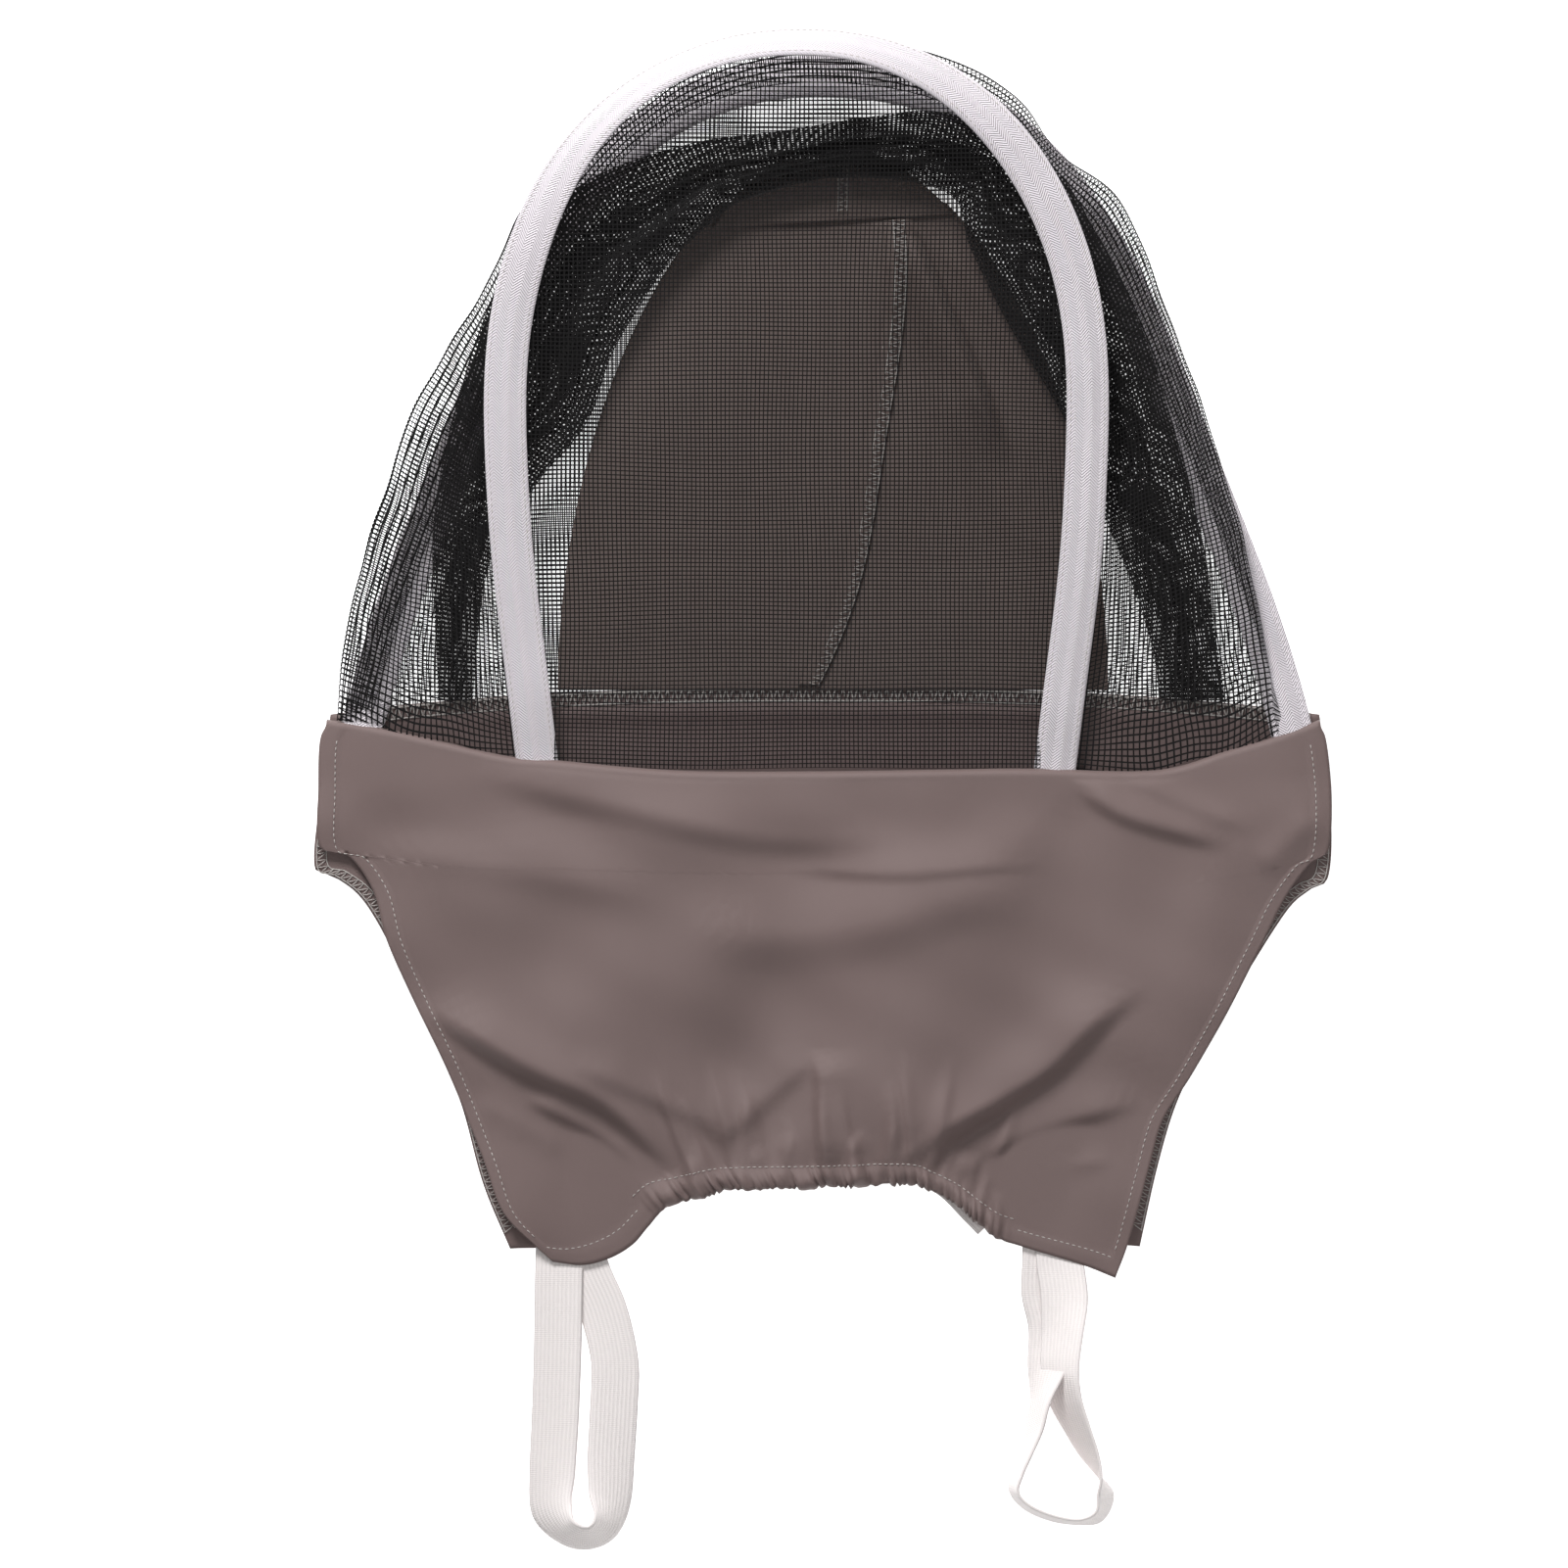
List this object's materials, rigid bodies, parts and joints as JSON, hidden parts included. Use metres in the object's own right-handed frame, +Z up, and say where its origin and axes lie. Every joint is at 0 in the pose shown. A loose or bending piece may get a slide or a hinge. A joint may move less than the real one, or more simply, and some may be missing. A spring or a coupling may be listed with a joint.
{
  "type": "beekeeping hood with shoulder yoke",
  "caption": "Hooded beekeeping veil laid flat: netting face window in a boned arch, cloth back, shoulder yoke with gathered hem and elastic underarm loops.",
  "frame": {"origin": "middle of the footprint, on the surface that the hood lies on", "axes": "+X across the garment, +Y from the loops towards the crown, +Z up from the surface, out of the face window"},
  "size_m": [0.4462, 0.6638, 0.0492],
  "materials": {
    "cloth": "plain-woven polyester cotton, soft sheen",
    "netting": "black square-mesh polyester netting",
    "tape": "white herringbone twill tape",
    "elastic": "white ribbed woven elastic",
    "thread": "light grey polyester thread",
    "boning": "satin plastic boning"
  },
  "bodies": {
    "yoke": {"front_yoke_panel": "cloth", "back_yoke_panel": "cloth", "neck_overlock": "thread", "front_hem_elastic": "elastic", "back_hem_elastic": "elastic", "front_hem_stitching": "thread", "left_armhole_stitching": "thread", "right_armhole_stitching": "thread", "left_front_tack": "thread", "left_back_tack": "thread", "right_front_tack": "thread", "right_back_tack": "thread"},
    "rear_hood": {"rear_arch_tape": "tape", "rear_arch_boning": "boning", "gusset_netting": "netting", "rear_netting": "netting", "left_hood_panel": "cloth", "right_hood_panel": "cloth", "hood_crown_band": "cloth", "centre_back_overlock": "thread", "crown_overlock": "thread"},
    "face_frame": {"front_arch_tape": "tape", "front_arch_boning": "boning", "front_tape_outer_stitching": "thread", "front_tape_inner_stitching": "thread", "face_netting": "netting"},
    "left_loop": {"left_elastic_loop": "elastic"},
    "right_loop": {"right_elastic_loop": "elastic"}
  },
  "joints": [
    {"name": "hood_raise", "type": "hinge", "parent": "yoke", "child": "rear_hood", "pos_m": [0, 0.01, 0.012], "axis": [1, 0, 0], "range_deg": [0, 90]},
    {"name": "face_open", "type": "hinge", "parent": "rear_hood", "child": "face_frame", "pos_m": [0, 0.01, 0.012], "axis": [1, 0, 0], "range_deg": [0, 50], "deforming": ["gusset_netting"]},
    {"name": "left_loop_swing", "type": "hinge", "parent": "yoke", "child": "left_loop", "pos_m": [-0.1055, -0.2115, 0.001], "axis": [-1, 0, 0], "range_deg": [0, 90]},
    {"name": "right_loop_swing", "type": "hinge", "parent": "yoke", "child": "right_loop", "pos_m": [0.1015, -0.2115, 0.001], "axis": [-1, 0, 0], "range_deg": [0, 90]}
  ]
}
